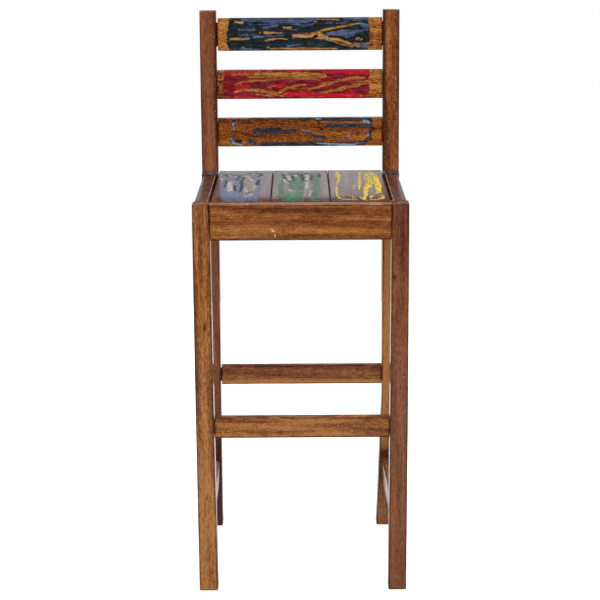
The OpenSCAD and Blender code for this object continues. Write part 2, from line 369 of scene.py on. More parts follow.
class Graph:
    """Short calls for the nodes of a material or the world.

    A value may be a number, a colour or another node's output. Scales are cells per metre,
    along the grain and across it.
    """

    def __init__(self, owner):
        owner.use_nodes = True
        self.owner = owner
        self.tree = owner.node_tree
        self.tree.nodes.clear()

    def add(self, kind, inputs=(), **settings):
        made = self.tree.nodes.new(kind)
        for key, value in settings.items():
            setattr(made, key, value)
        for key, value in dict(inputs).items():
            self.feed(made.inputs[key], value)
        return made

    def feed(self, socket, value):
        if isinstance(value, bpy.types.NodeSocket):
            self.tree.links.new(value, socket)
        else:
            socket.default_value = value

    def field(self, name, vector=False):
        made = self.add("ShaderNodeAttribute", attribute_name=name)
        return made.outputs["Vector" if vector else "Fac"]

    def math(self, operation, a, b=0.0, c=0.0, clamp=False):
        made = self.add("ShaderNodeMath", operation=operation, use_clamp=clamp)
        for socket, value in zip(made.inputs, (a, b, c)):
            self.feed(socket, value)
        return made.outputs[0]

    def scaled(self, vector, scale):
        made = self.add("ShaderNodeVectorMath", operation="MULTIPLY")
        self.feed(made.inputs[0], vector)
        made.inputs[1].default_value = scale
        return made.outputs[0]

    def noise(self, vector, scale, detail=3.0, rough=0.5):
        made = self.add("ShaderNodeTexNoise", {"Vector": self.scaled(vector, scale),
                                               "Scale": 1.0, "Detail": detail,
                                               "Roughness": rough})
        return made.outputs["Fac"]

    def step(self, value, low, high, to_low=0.0, to_high=1.0):
        made = self.add("ShaderNodeMapRange", {"Value": value, "From Min": low,
                                               "From Max": high, "To Min": to_low,
                                               "To Max": to_high},
                        interpolation_type="SMOOTHSTEP")
        return made.outputs["Result"]

    def mix(self, share, a, b):
        made = self.add("ShaderNodeMix", data_type="RGBA")
        self.feed(made.inputs["Factor"], share)
        self.feed(made.inputs["A"], a)
        self.feed(made.inputs["B"], b)
        return made.outputs["Result"]

    def ramp(self, value, stops):
        made = self.add("ShaderNodeValToRGB", {"Fac": value})
        elements = made.color_ramp.elements
        while len(elements) < len(stops):
            elements.new(0.5)
        for element, (place, colour) in zip(elements, stops):
            element.position = place
            element.color = colour
        return made.outputs["Color"]

    def relief(self, height, strength):
        made = self.add("ShaderNodeBump", {"Height": height, "Strength": strength,
                                           "Distance": MM})
        return made.outputs["Normal"]

    def end(self, shader, kind="ShaderNodeOutputMaterial"):
        self.add(kind, {"Surface": shader.outputs[0]})
        return self.owner

    def finish(self, colour, roughness, height, bump, coat, coat_rough=0.07, metallic=0.0):
        """The surface, under a clear coat that follows its relief only faintly."""
        return self.end(self.add("ShaderNodeBsdfPrincipled", {
            "Base Color": colour, "Roughness": roughness, "Metallic": metallic,
            "Specular IOR Level": 0.15, "Normal": self.relief(height, bump),
            "Coat Weight": coat, "Coat Roughness": coat_rough, "Coat IOR": 1.5,
            "Coat Normal": self.relief(height, 0.3 * bump)}))


def new_material(name):
    return Graph(bpy.data.materials.new(name))


def wood_layers(g, palette, figure=1.0, mottle=1.1):
    """Colour and height of wood along the grain field, from dark, middle and light."""
    dark, middle, light = palette
    grain = g.field("grain", vector=True)
    bend = g.add("ShaderNodeTexNoise", {"Vector": g.scaled(grain, (5, 24, 24)), "Scale": 1.0,
                                        "Detail": 2.0})
    shift = g.add("ShaderNodeVectorMath", operation="MULTIPLY_ADD")
    g.feed(shift.inputs[0], bend.outputs["Color"])
    shift.inputs[1].default_value = (0.0, 0.012, 0.012)
    g.feed(shift.inputs[2], grain)
    bent = shift.outputs[0]
    zones = g.noise(bent, (3.2, 55, 55), 2.0, 0.5)
    rings = g.add("ShaderNodeTexWave", {"Vector": g.scaled(bent, (1.5, 26, 34)), "Scale": 1.0,
                                        "Distortion": 5.0, "Detail": 2.0, "Detail Scale": 0.9},
                  bands_direction="DIAGONAL").outputs["Fac"]
    streaks = g.noise(bent, (9, 420, 420), 4.0, 0.65)
    flecks = g.noise(grain, (80, 260, 260), 3.0, 0.6)
    grit = g.noise(grain, (210, 520, 520), 2.0, 0.6)
    pores = g.noise(grain, (70, 900, 900), 2.0, 0.6)
    value = g.math("MULTIPLY_ADD", zones, 1.1 * figure, 0.5 - 0.55 * figure)
    value = g.math("MULTIPLY_ADD", g.math("SUBTRACT", rings, 0.5), 0.2 * figure, value)
    value = g.math("MULTIPLY_ADD", g.math("SUBTRACT", streaks, 0.5), figure, value)
    value = g.math("MULTIPLY_ADD", g.math("SUBTRACT", flecks, 0.5), figure, value)
    value = g.math("MULTIPLY_ADD", g.math("SUBTRACT", grit, 0.5), mottle * figure, value)
    value = g.math("ADD", value, g.field("tone"), clamp=True)
    colour = g.ramp(value, [(0.05, dark), (0.5, middle), (0.95, light)])
    pore = g.step(pores, 0.56, 0.7)
    colour = g.mix(g.math("MULTIPLY", pore, 0.4), colour, dark)
    height = g.math("MULTIPLY_ADD", streaks, 0.5, g.math("MULTIPLY", pore, -0.5))
    return colour, height, grain


def frame_material(name, palette, figure=1.0):
    """Lacquered teak with darker, built-up lacquer along its arrises, painted shade, a painted sheen on the
    ledges, painted glints and a few chips.
    """
    g = new_material(name)
    colour, height, grain = wood_layers(g, palette, figure)
    patchy = g.noise(grain, (30, 90, 90), 3.0)
    # Chips, and painted glints where the chip field is raised.
    chip_and_glint = g.math("MULTIPLY_ADD", g.noise(grain, (300, 500, 500), 2.0), 1.2, g.field("chip_and_glint"))
    colour = g.mix(g.step(chip_and_glint, 0.75, 1.1), colour, CHIP_AND_GLINT)
    # The arris field carries painted shade too, so this darkens shaded faces and ends as well as the
    # arrises.
    edge = g.math("MULTIPLY", g.field("arris"), g.step(patchy, 0.35, 0.6, 0.3, 0.85))
    colour = g.mix(edge, colour, DARK_LACQUER_AND_SHADE)
    # Painted sheen on the ledges of the rear posts.
    ledge_sheen = g.mix(g.step(patchy, 0.4, 0.6), *LEDGE_SHEEN)
    colour = g.mix(g.field("ledge_sheen"), colour, ledge_sheen)
    rough = g.step(patchy, 0.3, 0.7, 0.42, 0.58)
    coat = g.math("MULTIPLY_ADD", g.field("painted_shade_and_dull"), -0.6, 0.85)
    coat = g.math("MULTIPLY_ADD", g.field("arris"), -0.25, coat, clamp=True)
    return g.finish(colour, rough, height, 0.35, coat, coat_rough=0.09)


def painted_material(name, wood, coats, paint_rough=0.45, figure=1.1, lacquer=0.08,
                     edging=0.55):
    """Worn paint over wood.

    coats is a list of (field, first colour, second, third, raggedness, strength, softness,
    lacquer over it): the paint shows where its field plus noise is above 0. A crisp coat,
    with little softness, leaves a dark rim on the wood beside it.
    """
    g = new_material(name)
    colour, height, grain = wood_layers(g, wood, figure, mottle=2.0)
    ragged = g.noise(grain, (85, 270, 270), 5.0, 0.7)
    daub = g.noise(grain, (62, 300, 300), 3.0, 0.65)
    coarse = g.noise(grain, (45, 150, 150), 3.0, 0.6)
    brushed = g.noise(grain, (26, 560, 560), 4.0, 0.65)
    uneven = g.math("MULTIPLY_ADD", ragged, 1.5, g.math("MULTIPLY_ADD", coarse, 0.4, brushed))
    uneven = g.math("SUBTRACT", uneven, 1.45)
    worn = g.step(uneven, 0.3, 0.5, 0.0, 0.7)
    cover, coat = 0.0, g.step(daub, 0.3, 0.6, 0.6, 0.95)
    for field, first, second, third, rag, strength, soft, shine in coats:
        level = g.math("MULTIPLY_ADD", uneven, rag, g.field(field))
        mask = g.math("MULTIPLY", g.step(level, -soft, soft, 0.0, strength),
                      g.math("SUBTRACT", 1.0, worn))
        shade = g.mix(g.step(g.math("ADD", daub, brushed), 0.82, 1.2), srgb(*first),
                      srgb(*second))
        shade = g.mix(g.step(coarse, 0.5, 0.66), shade, srgb(*third))
        colour = g.mix(mask, colour, shade)
        if soft < CRISP:
            rim = g.math("MULTIPLY", g.step(level, -0.5, -0.05), g.step(level, 0.1, -0.05))
            colour = g.mix(g.math("MULTIPLY", rim, 0.5), colour, PAINT_RIM)
        cover = g.math("MAXIMUM", cover, mask)
        coat = g.math("MULTIPLY_ADD", mask, g.math("SUBTRACT", shine, coat), coat)
    relief = g.math("MULTIPLY_ADD", cover, 0.8, height)
    relief = g.math("MULTIPLY_ADD", brushed, 0.6, relief)
    rough = g.step(cover, 0, 1, 0.38, paint_rough)
    coat = g.math("MULTIPLY", coat, g.math("MULTIPLY_ADD", g.field("painted_shade_and_dull"), -0.9, 1.0))
    edge = g.math("MULTIPLY", g.field("arris"), g.step(coarse, 0.4, 0.6, 0.3 * edging, edging))
    # Painted shade from the shade fields darkens the colour here as well as dulling the coat.
    edge = g.math("MAXIMUM", edge, g.math("MULTIPLY", g.field("painted_shade_and_dull"), 0.85))
    colour = g.mix(edge, colour, DARK_EDGE_AND_SHADE)
    return g.finish(colour, rough, relief, 0.5, coat, coat_rough=lacquer)


def steel_material():
    """Zinc-plated steel, scratched all ways."""
    g = new_material("zinc_screw")
    place = g.add("ShaderNodeTexCoord").outputs["Object"]
    scratch = g.noise(place, (900, 900, 900), 3.0)
    colour = g.mix(scratch, srgb(150, 150, 148), srgb(205, 205, 200))
    rough = g.step(scratch, 0.3, 0.7, 0.3, 0.5)
    return g.finish(colour, rough, scratch, 0.2, 0.0, metallic=1.0)


# ---------------------------------------------------------------- placing the pieces

# Faces that the members share, from the boxes of the CAD nodes
OUTER_X, LEG_BACK_Y, SEAT_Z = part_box("front_leg_right")[1]
_, POST_Y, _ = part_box("rear_post_left")[0]
_, _, POST_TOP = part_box("rear_post_left")[1]
_, _, FOOTREST_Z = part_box("footrest_front")[0]
TENON_REACH, _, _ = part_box("footrest_front")[1]
_, _, RAIL_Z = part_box("front_apron")[0]
INNER_X = OUTER_X - LEG_W
LEDGE_Z = SEAT_Z + LEDGE_RISE
LEDGE_REAR = POST_MIDDLE - LEDGE_D

# Points per section side (top, side, bottom, corner) by kind of piece
FINE = (62, 8, 20, 3)
PLANK = (74, 10, 20, 3)
LEG = (14, 16, 14, 3)
BAR = (18, 9, 18, 3)
APRON = (30, 12, 14, 3)
CLEAT = (8, 8, 8, 2)


def middle_and_half(node):
    """Middle and half size of a CAD node's box, as x, y, z."""
    low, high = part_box(node)
    return ([(a + b) / 2 for a, b in zip(low, high)],
            [(b - a) / 2 for a, b in zip(low, high)])


def settle(piece, node):
    """Puts a piece on the stool in place of its CAD node."""
    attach(piece, "root")
    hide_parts(node)


def chip_and_glint_apron(piece, local):
    """Chips through the apron's lacquer left of its middle, and pale marks along its upper arris, a painted
    highlight.
    """
    x = (local[:, 0] - INNER_X + SNUG_GAP) / MM
    z = local[:, 1] / MM
    chips = strokes(x, z, [(4, 3, (-53, -14), (-49, -17)), (1.6, 1.2, (-48, -21), (-46, -33)),
                           (2, 2, (-64, -26), (-63, -27)), (1.5, 1.2, (-100, 33), (-96, 33.5)),
                           (1.2, 1.2, (128, 33), (152, 33))])
    put(piece, "chip_and_glint", np.where(local[:, 2] > 0, np.clip(chips + 0.4, -1, 1), -1.0))


def top_shade(local):
    """Painted shade on a bar's upper face, which also dulls its lacquer."""
    return 0.85 * smooth((local[:, 1] - local[:, 1].max() + 2.5 * MM) / (2 * MM))


def rail_shade(local):
    """Painted shade on a rail's upper face, less of it towards the outside."""
    outward = local[:, 2] / (RAIL_T / 2)
    return top_shade(local) * (1 - 0.85 * smooth(1.3 * outward))


def glint_rail(piece, local):
    """A painted glint: pale colour along a rail's inner upper arris, where the lacquer would catch the
    light.
    """
    reach = 1.5 * MM
    inner = local[:, 2] < local[:, 2].min() + reach
    upper = local[:, 1] > local[:, 1].max() - reach
    put(piece, "chip_and_glint", np.where(inner & upper, 0.5, 0.0))


def leg_shade(local):
    """Painted shade on the end grain at the top of a leg."""
    return 0.5 * smooth((local[:, 0] - local[:, 0].max() + 3 * MM) / (2 * MM))


def paint_ledge_sheen(piece, local):
    """A painted sheen: grey over the ledge of a rear post, where its upward face would reflect the bright
    surroundings.
    """
    on_ledge = (np.abs(local[:, 0] - LEDGE_Z) < 1.3 * MM) & (local[:, 2] > LEDGE_REAR - 0.5 * MM)
    put(piece, "ledge_sheen", np.where(on_ledge, 1.0, 0.0))


def post_shade(local):
    """Painted shade in the corners just above and just below the ledge of a rear post."""
    rise = local[:, 0] - LEDGE_Z
    above = smooth(1 - np.abs(rise - 2 * MM) / (2.4 * MM)) * (local[:, 2] > LEDGE_REAR - MM)
    below = smooth(1 - np.abs(rise + 2 * MM) / (2 * MM)) * (local[:, 2] > POST_MIDDLE - 3 * MM)
    return np.maximum(above, below)


def add_tenons(piece, board, seed, reach, *section):
    """Joins a bar that passes each end of the board by its reach, darkened all over as painted shade in the
    joints.
    """
    through = Board(board.origin - np.array(board.axes[0]) * reach, *board.axes,
                    board.length + 2 * reach, *section)
    bar, local, _ = build(piece.name + "_tenon", through, 6 * MM, (4, 3, 4, 2), 0.6 * MM,
                          0.8 * MM)
    put(bar, "grain", local + np.array([3.1 * seed - reach, 0, 0]))
    put(bar, "arris", np.ones(len(local)))
    put(bar, "tone", np.full(len(local), -0.5))
    for field in ("paint", "paint2", "paint3", "core"):
        if field in piece.data.attributes:
            put(bar, field, np.full(len(local), -1.0))
    bpy.ops.object.select_all(action="DESELECT")
    bar.select_set(True)
    piece.select_set(True)
    bpy.context.view_layer.objects.active = piece
    bpy.ops.object.join()


def wooden(name, board, step, counts, radius, end_radius, seed, material, slot,
           tone=(), tenon=None, extra=(), wear=0.5 * MM, dress=None, shade=None):
    """A finished wooden piece: body, optional tenons, fields, material and place."""
    piece, local, arris = build(name, board, step, counts, radius, end_radius, extra)
    if dress:
        dress(piece, local)
    finish_board(piece, board, local, arris, seed, tone, wear, shade)
    if tenon:
        add_tenons(piece, board, seed, *tenon)
    piece.data.materials.clear()
    piece.data.materials.append(material)
    settle(piece, name)


def tongue(reach, a, shoulder, thickness):
    """A tenon's reach past each end and its section, for a board of half width a."""
    return (reach, -a + shoulder, a - shoulder, -thickness / 2, thickness / 2)


def cross_member(name, left, right, shoulder, **options):
    """A bar along X between the legs, in the place of its CAD node."""
    (_, y, z), (_, b, a) = middle_and_half(name)
    board = Board((-left, y, z), X, Z, -Y, left + right, -a, a, -b, b)
    reach = TENON_REACH - max(left, right)
    wooden(name, board, tenon=tongue(reach, a, shoulder, TENON_T), **options)


def side_member(name, side, b, front_x, turn=0.0, *, shoulder, **options):
    """A bar along Y, of half thickness b, whose front end is centred on front_x."""
    (_, _, z), (_, _, a) = middle_and_half(name)
    start, end = LEG_BACK_Y + SNUG_GAP, POST_Y - SNUG_GAP
    along = math.cos(turn) * Y - math.sin(turn) * X
    across = math.cos(turn) * X + math.sin(turn) * Y
    origin = (front_x - math.sin(turn) * SNUG_GAP, start, z)
    board = Board(origin, along, Z, side * across, end - start, -a, a, -b, b)
    reach = SIDE_TENON - SNUG_GAP
    wooden(name, board, tenon=tongue(reach, a, shoulder, TENON_T), **options)


def front_leg(name, side, seed, material, tone):
    """A front leg: a little wider at the floor than at the seat."""
    (_, middle_y, half_z), (_, b, _) = middle_and_half(name)
    middle_x = side * (OUTER_X - LEG_W / 2)

    def inner(z):
        return side * (INNER_X - LEG_FLARE[side] * max(0.0, 1 - z / RAIL_Z)) - middle_x

    def outer(z):
        narrow = LEG_TOP_TAPER * max(0.0, (z - LEG_TAPER_START) / (SEAT_Z - LEG_TAPER_START))
        bow = LEG_BOW * max(0.0, 1 - z / LEG_TAPER_START)
        return side * (OUTER_X - narrow - bow) - middle_x

    limits = (inner, outer) if side > 0 else (outer, inner)
    board = Board((middle_x, middle_y, 0), Z, X, -Y, 2 * half_z, *limits, -b, b)
    wooden(name, board, 3 * MM, LEG, 1.6 * MM, 0.8 * MM, seed, material, "frame_wood",
           tone=tone, shade=leg_shade)


def rear_post(name, side, seed, material, tone):
    """A rear post: upright to the seat, then cut back to a ledge and raked."""
    back_y = POST_Y + LEDGE_D + POST_D
    middle_x, middle_y = side * (OUTER_X - LEG_W / 2), POST_Y + POST_MIDDLE
    lean = RAKE / (POST_TOP - LEDGE_Z)

    def shift(z):
        return FOOT_SWEEP * max(0.0, 1 - z / SWEEP_START) if side > 0 else 0.0

    def inner(z):
        if side > 0:
            return OUTER_X - LEG_W - shift(z)
        return -(INNER_X + FOOT_TAPER * max(0.0, 1 - z / SEAT_Z))

    def outer(z):
        return side * OUTER_X - shift(z)

    def front(z):
        return POST_Y if z < LEDGE_Z else POST_Y + LEDGE_D + lean * (z - LEDGE_Z)

    def back(z):
        return back_y + lean * max(0.0, z - SEAT_Z)

    low_x = inner if side > 0 else outer
    high_x = outer if side > 0 else inner
    board = Board((middle_x, middle_y, 0), Z, X, -Y, POST_TOP,
                  lambda s: low_x(s) - middle_x, lambda s: high_x(s) - middle_x,
                  lambda s: middle_y - back(s), lambda s: middle_y - front(s))
    ledge = (LEDGE_Z - 2 * MM, LEDGE_Z - 1.2 * MM, LEDGE_Z - 0.35 * MM, LEDGE_Z - 0.01 * MM,
             LEDGE_Z + 0.01 * MM, LEDGE_Z + 0.8 * MM, LEDGE_Z + 2 * MM, LEDGE_Z + 3.5 * MM)
    wooden(name, board, 3 * MM, LEG, 1.4 * MM, 1.2 * MM, seed, material, "frame_wood",
           tone=tone, extra=ledge, dress=paint_ledge_sheen, shade=post_shade)


# ---------------------------------------------------------------- painted slats

def slat_places(local, half, height, seed):
    """Slat coordinates in mm, x from the middle and y up from the lower edge, warped."""
    x = (local[:, 0] - half) / MM
    y = (local[:, 1] + height / 2) / MM
    return warped(x, y, seed, 2.2, 0.9)


def relief(piece, local, depth):
    """Sinks the front face of a slat, or the top face of a plank, by a depth in mm."""
    sink(piece, np.where(local[:, 2] > 0, depth * MM, 0))


def top_slat_paint(piece, local):
    """Dark teal with blue streaks, bare ends and a branching bare crack."""
    x, y = slat_places(local, 164 * MM, 66 * MM, 11)
    cover = between(x, y, [(-139, -3), (-140, 6), (-145, 16), (-146, 30), (-144, 46),
                           (-140, 60), (-139, 70)],
                    [(138, -3), (139, 6), (142, 18), (143, 32), (143, 46), (140, 60), (140, 70)])
    bare = strokes(x, y, [
        (4, 4.5, (-129, 58), (-121, 57.5), (-114, 57)), (3, 2, (-140, 22), (-138, 26)),
        (5, 6, (-137, 24), (-126, 24)), (6, 2, (-126, 24), (-112, 23.5), (-100, 24.5)),
        (4, 5.5, (-69, 37), (-62, 36)), (5, 2, (-62, 36), (-51, 36), (-34, 35.5)),
        (2, 2, (-79, 36.5), (-77, 36.5)), (3.5, 3.5, (-68, 20.5), (-55, 23.5)),
        (3.5, 1.5, (-55, 23.5), (-39, 24.5), (-23, 22.5)), (4, 5, (-29, 46), (-17, 45)),
        (2.5, 2, (-115, 8), (-111, 7.5)), (2, 2, (-66, 7), (-61, 7)), (2, 2, (33, 57), (36, 58)),
        (2.5, 4, (-57, 4), (-30, 5), (1, 4)), (4.5, 2.5, (1, 4), (40, 4), (78, 4)),
        (2, 3, (38, 62.5), (58, 62.5)), (3, 1.5, (58, 62), (81, 61.5)),
        (6, 9, (-11, 29), (0, 30), (13, 29)), (10, 8, (13, 29), (27, 30)),
        (7, 10, (27, 34), (38, 35), (45, 33)), (6, 5, (42, 37), (47, 40), (61, 43)),
        (5, 4, (61, 43), (82, 47), (102, 50)), (4, 2, (102, 50), (112, 52.5), (126, 55)),
        (9, 8, (33, 28), (45, 28), (58, 26)), (8, 6.5, (58, 26), (70, 23.5), (84, 21)),
        (7, 5, (84, 21), (95, 16.5), (108, 11)), (4, 3, (108, 11), (121, 11)),
        (2.5, 2.5, (60, 22), (86, 12.5), (108, 7)), (2, 2.5, (119, 13), (130, 14), (144, 13)),
        (4, 3.5, (116, 23), (120, 24.5)), (4, 3.5, (124, 20.5), (128, 24)),
    ])
    dark = strokes(x, y, [
        (4, 6, (31, 27), (36, 29)), (2.5, 2.5, (45, 35), (60, 38.5), (80, 42.5), (104, 46.5)),
        (3, 3, (112, 18), (111, 25), (116, 29), (126, 28)), (3, 2.5, (126, 28), (132, 22)),
        (2.5, 2.5, (132, 22), (128, 16), (118, 17)), (2.5, 3, (62, 28), (78, 26), (92, 22)),
        (2.5, 2.5, (80, 10), (100, 4)), (2, 2, (8, 24), (28, 23)), (2.5, 2, (133, 38), (138, 30)),
    ])
    # The wide blue strokes along the top edge are partly a painted sheen, where the eased edge would reflect
    # the light above.
    blue = strokes(x, y, [
        (5, 8, (-113, 62), (-85, 61), (-61, 60)), (10, 12, (-61, 59.5), (-30, 59), (1, 59)),
        (9, 5, (1, 60), (36, 62)), (3, 3, (-100, 52), (-40, 54)), (2, 2, (-90, 28), (-30, 30)),
        (4, 5, (90, 63.5), (120, 62.5), (140, 62)),
        (9, 11, (58, 34), (82, 35)), (12, 9, (82, 35), (108, 36)), (8, 10, (127, 52), (139, 46)),
        (5, 6, (94, 28), (114, 33)), (5, 5, (114, 38), (134, 40)), (4, 4, (112, 13), (126, 16)),
        (6, 8, (120, 7), (138, 7)), (5, 5, (-122, 43), (-92, 42)), (4, 4, (-120, 33), (-104, 34)),
        (4, 5, (54, 55), (67, 56)), (4, 4, (-70, 46), (-42, 50)), (3, 4, (-10, 52), (28, 50)),
        (3, 3, (-24, 10), (8, 12)), (4, 4, (76, 55), (100, 57)), (3, 3, (-118, 4), (-80, 3)),
    ])
    open_wood = -np.maximum(bare, -cover)
    put_paint(piece, {"paint": open_wood, "paint2": np.minimum(blue - 0.1, open_wood),
                      "paint3": np.minimum(dark, cover), "core": bare - 0.7})
    relief(piece, local, 0.45 * smooth(bare) + 1.3 * smooth(dark))


def middle_slat_paint(piece, local):
    """Crimson over ochre wood that shows in long diagonal streaks."""
    x, y = slat_places(local, 167.5 * MM, 59 * MM, 23)
    cover = between(x, y, [(-152, -3), (-156, 8), (-155, 42), (-151, 62)],
                    [(128, -3), (136, 8), (142, 14), (143, 26), (139, 32), (142, 40), (143, 62)])
    bare = strokes(x, y, [
        (3, 4, (-137, 50), (-116, 51), (-94, 51)), (4, 5, (-110, 51.5), (-88, 52), (-50, 52)),
        (4, 7, (-104, 45), (-84, 46), (-56, 47)), (8, 10, (-56, 49), (-30, 49), (4, 48)),
        (10, 9, (4, 48), (30, 48), (50, 46)), (3, 4, (-40, 41.5), (0, 42), (30, 41)),
        (2, 3.5, (-130, 30.5), (-118, 34)), (3.5, 5.5, (-118, 34.5), (-93, 38), (-70, 39)),
        (5, 4, (-70, 39), (-40, 41)), (2, 4.5, (-133, 15), (-112, 19.5)),
        (5, 6, (-112, 19.5), (-87, 18.5), (-65, 14.5)), (7, 6, (-65, 14.5), (-49, 12)),
        (3, 3, (-91, 9.5), (-73, 8.5), (-57, 7.5)), (4, 6, (-49, 10.5), (-36, 16.5)),
        (6, 5, (-36, 16.5), (-24, 21.7), (-10, 26)), (5, 4, (-10, 26), (-2, 28), (12, 29)),
        (3, 4, (-12, 19.5), (4, 20.5), (20, 20)), (4, 5, (20, 20), (36, 24), (51, 29)),
        (5, 4, (51, 29), (63, 30.5)), (3, 5, (40, 29), (67, 34)), (5, 6, (67, 34), (87, 38)),
        (6, 5, (87, 38), (106, 41), (130, 42)), (3, 6, (38, 11), (57, 15)),
        (6, 7, (57, 15), (75, 18), (91, 23)), (7, 6, (91, 23), (114, 28), (138, 34)),
        (6, 8, (138, 34), (166, 41)), (3, 3, (-42, 7), (-34, 6)), (2, 3, (124, 6), (150, 6)),
        (4, 3, (26, 41), (44, 37)), (3, 3, (-66, 26), (-50, 27)),
    ])
    bright = strokes(x, y, [
        (5, 6, (-150, 55), (-120, 55.5), (-92, 55)), (4, 5, (-26, 56.5), (20, 56.5)),
        (6, 9, (50, 54), (80, 53.5), (140, 52.5)), (8, 10, (-132, 5), (-112, 6)),
        (5, 4, (-112, 4), (-85, 2)), (8, 9, (-127, 24), (-104, 25)), (9, 11, (-30, 8), (4, 9)),
        (10, 9, (4, 8), (60, 7), (118, 7)), (6, 6, (-64, 27), (-36, 27)), (4, 4, (104, 14), (112, 15)),
    ])
    plum = strokes(x, y, [
        (8, 10, (-101, 24), (-76, 29)), (10, 9, (-76, 29), (-49, 36)), (8, 9, (0, 33), (26, 34)),
        (6, 6, (30, 15), (50, 20)), (7, 6, (57, 46), (87, 45)), (7, 8, (-118, 12), (-94, 11)),
        (8, 8, (-153, 15), (-138, 12)), (6, 6, (-140, 38), (-120, 42)), (8, 6, (112, 17), (136, 22)),
        (6, 5, (60, 25), (78, 27)), (5, 5, (-30, 34), (-10, 36)),
    ])
    open_wood = -np.maximum(bare - 0.3, -cover)
    put_paint(piece, {"paint": open_wood, "paint2": np.minimum(bright, open_wood),
                      "paint3": np.minimum(plum, open_wood), "core": bare - 1.0})
    relief(piece, local, 0.5 * smooth(bare))


def bottom_slat_paint(piece, local):
    """Mostly bare, with slate-blue paint left along its edges and in streaks."""
    x, y = slat_places(local, 167.5 * MM, 59 * MM, 37)
    slate = strokes(x, y, [
        (3, 5, (-100, 58), (-40, 57.5), (4, 57)), (7, 9, (4, 56), (60, 55.5), (100, 55)),
        (7, 9, (100, 55.5), (143, 54)), (6, 9, (-84, 5), (-60, 5), (-20, 5.5)),
        (9, 10, (-20, 5.5), (30, 5.5), (72, 5)), (8, 9, (72, 5.5), (110, 6), (130, 8)),
        (7, 9, (-92, 33), (-77, 33)), (10, 12, (-70, 33), (-56, 32), (-42, 33)),
        (8, 8, (-40, 31), (-24, 31), (-12, 32)), (5, 6, (2, 31.5), (22, 27)),
        (6, 6, (22, 27), (31, 21), (48, 19)), (8, 10, (56, 42), (76, 41), (97, 41)),
        (8, 8, (97, 42.5), (128, 42)), (10, 13, (126, 41), (143, 39)), (7, 6, (143, 52), (143.5, 30)),
        (7, 7, (143.5, 32), (143, 15)), (8, 7, (133, 10), (142, 16)), (4, 4, (97, 18), (104, 27)),
        (2.5, 2.5, (104, 27), (122, 26), (140, 26.5)), (5, 4, (-118, 50), (-103, 49)),
        (10, 9, (-101, 12), (-93, 8)), (3, 3, (66, 19), (96, 18)), (7, 6, (-134, 52), (-136, 44)),
        (6, 5, (-136, 44), (-136, 34)), (6, 6, (-139, 18), (-136, 8)), (3, 2, (-134, 6), (-119, 4)),
        (8, 7, (-129, 12), (-122, 10)),
    ])
    pale = strokes(x, y, [
        (4, 4, (-136, 46), (-136, 35)), (3, 2.5, (-132, 50), (-130, 52)),
        (4, 5, (-139, 17), (-136, 8)), (2.5, 2, (-133, 6), (-119, 4)), (4, 4, (36, 56), (40, 56)),
        (1.5, 3, (34, 7), (60, 4)), (3, 3, (50, 6), (80, 3.5)), (2, 3, (76, 5), (113, 4)),
        (5, 6, (131, 52), (141, 48)), (3, 3, (140, 25), (141, 22)), (3.5, 3, (98, 19), (103, 27)),
        (1.5, 2, (2, 34), (20, 30)), (2, 2, (104, 5), (130, 7)),
    ])
    dark = strokes(x, y, [
        (3, 3, (-134, 54), (-131, 51)), (6, 5, (-129, 12), (-122, 10)), (2, 2, (74, 8), (113, 8)),
        (2, 3, (-60, 37), (-54, 42)), (3, 2, (40, 49), (38, 40), (44, 34)), (3, 2, (44, 34), (54, 38)),
        (2, 2, (144.5, 52), (145, 14)), (1.5, 1.5, (-92, 38), (-75, 37)), (2, 1.5, (147, 35), (166, 34)),
        (2, 2, (-140, 31), (-104, 26)), (2, 2, (60, 34), (84, 30)), (1.5, 1.5, (-100, 22), (-60, 20)),
    ])
    put_paint(piece, {"paint": slate + 0.2, "paint2": pale, "paint3": dark})
    relief(piece, local, 0.3 * smooth(-slate) + 0.7 * smooth(dark))


def slat(name, gaps, seed, material, slot, dress, tone=()):
    """A back slat, leaning with the posts; gaps are those to the left and the right post."""
    (_, y, z), (_, _, half_z) = middle_and_half(name)
    angle = math.atan(RAKE / (POST_TOP - LEDGE_Z))
    up = np.array([0, math.sin(angle), math.cos(angle)])
    ahead = np.array([0, -math.cos(angle), math.sin(angle)])
    height = (2 * half_z - SLAT_T * math.sin(angle)) / math.cos(angle)
    a, b = height / 2, SLAT_T / 2
    left, right = INNER_X - gaps[0], INNER_X - gaps[1]
    board = Board((-left, y, z), X, up, ahead, left + right, -a, a, -b, b)
    wooden(name, board, 1.2 * MM, FINE, 1.6 * MM, CLOSE_END, seed, material, slot,
           tenon=tongue(TENON_REACH - left, a, SHOULDER, SLAT_TENON_T), wear=0.9 * MM,
           dress=dress, tone=tone)


# ---------------------------------------------------------------- painted planks

def plank_places(local, seed):
    """Plank coordinates in mm, x from the middle and y back from the front end, warped."""
    y, x = warped(local[:, 0] / MM / 3, -local[:, 1] / MM, seed, 2.5, 1.3)
    return x, y * 3


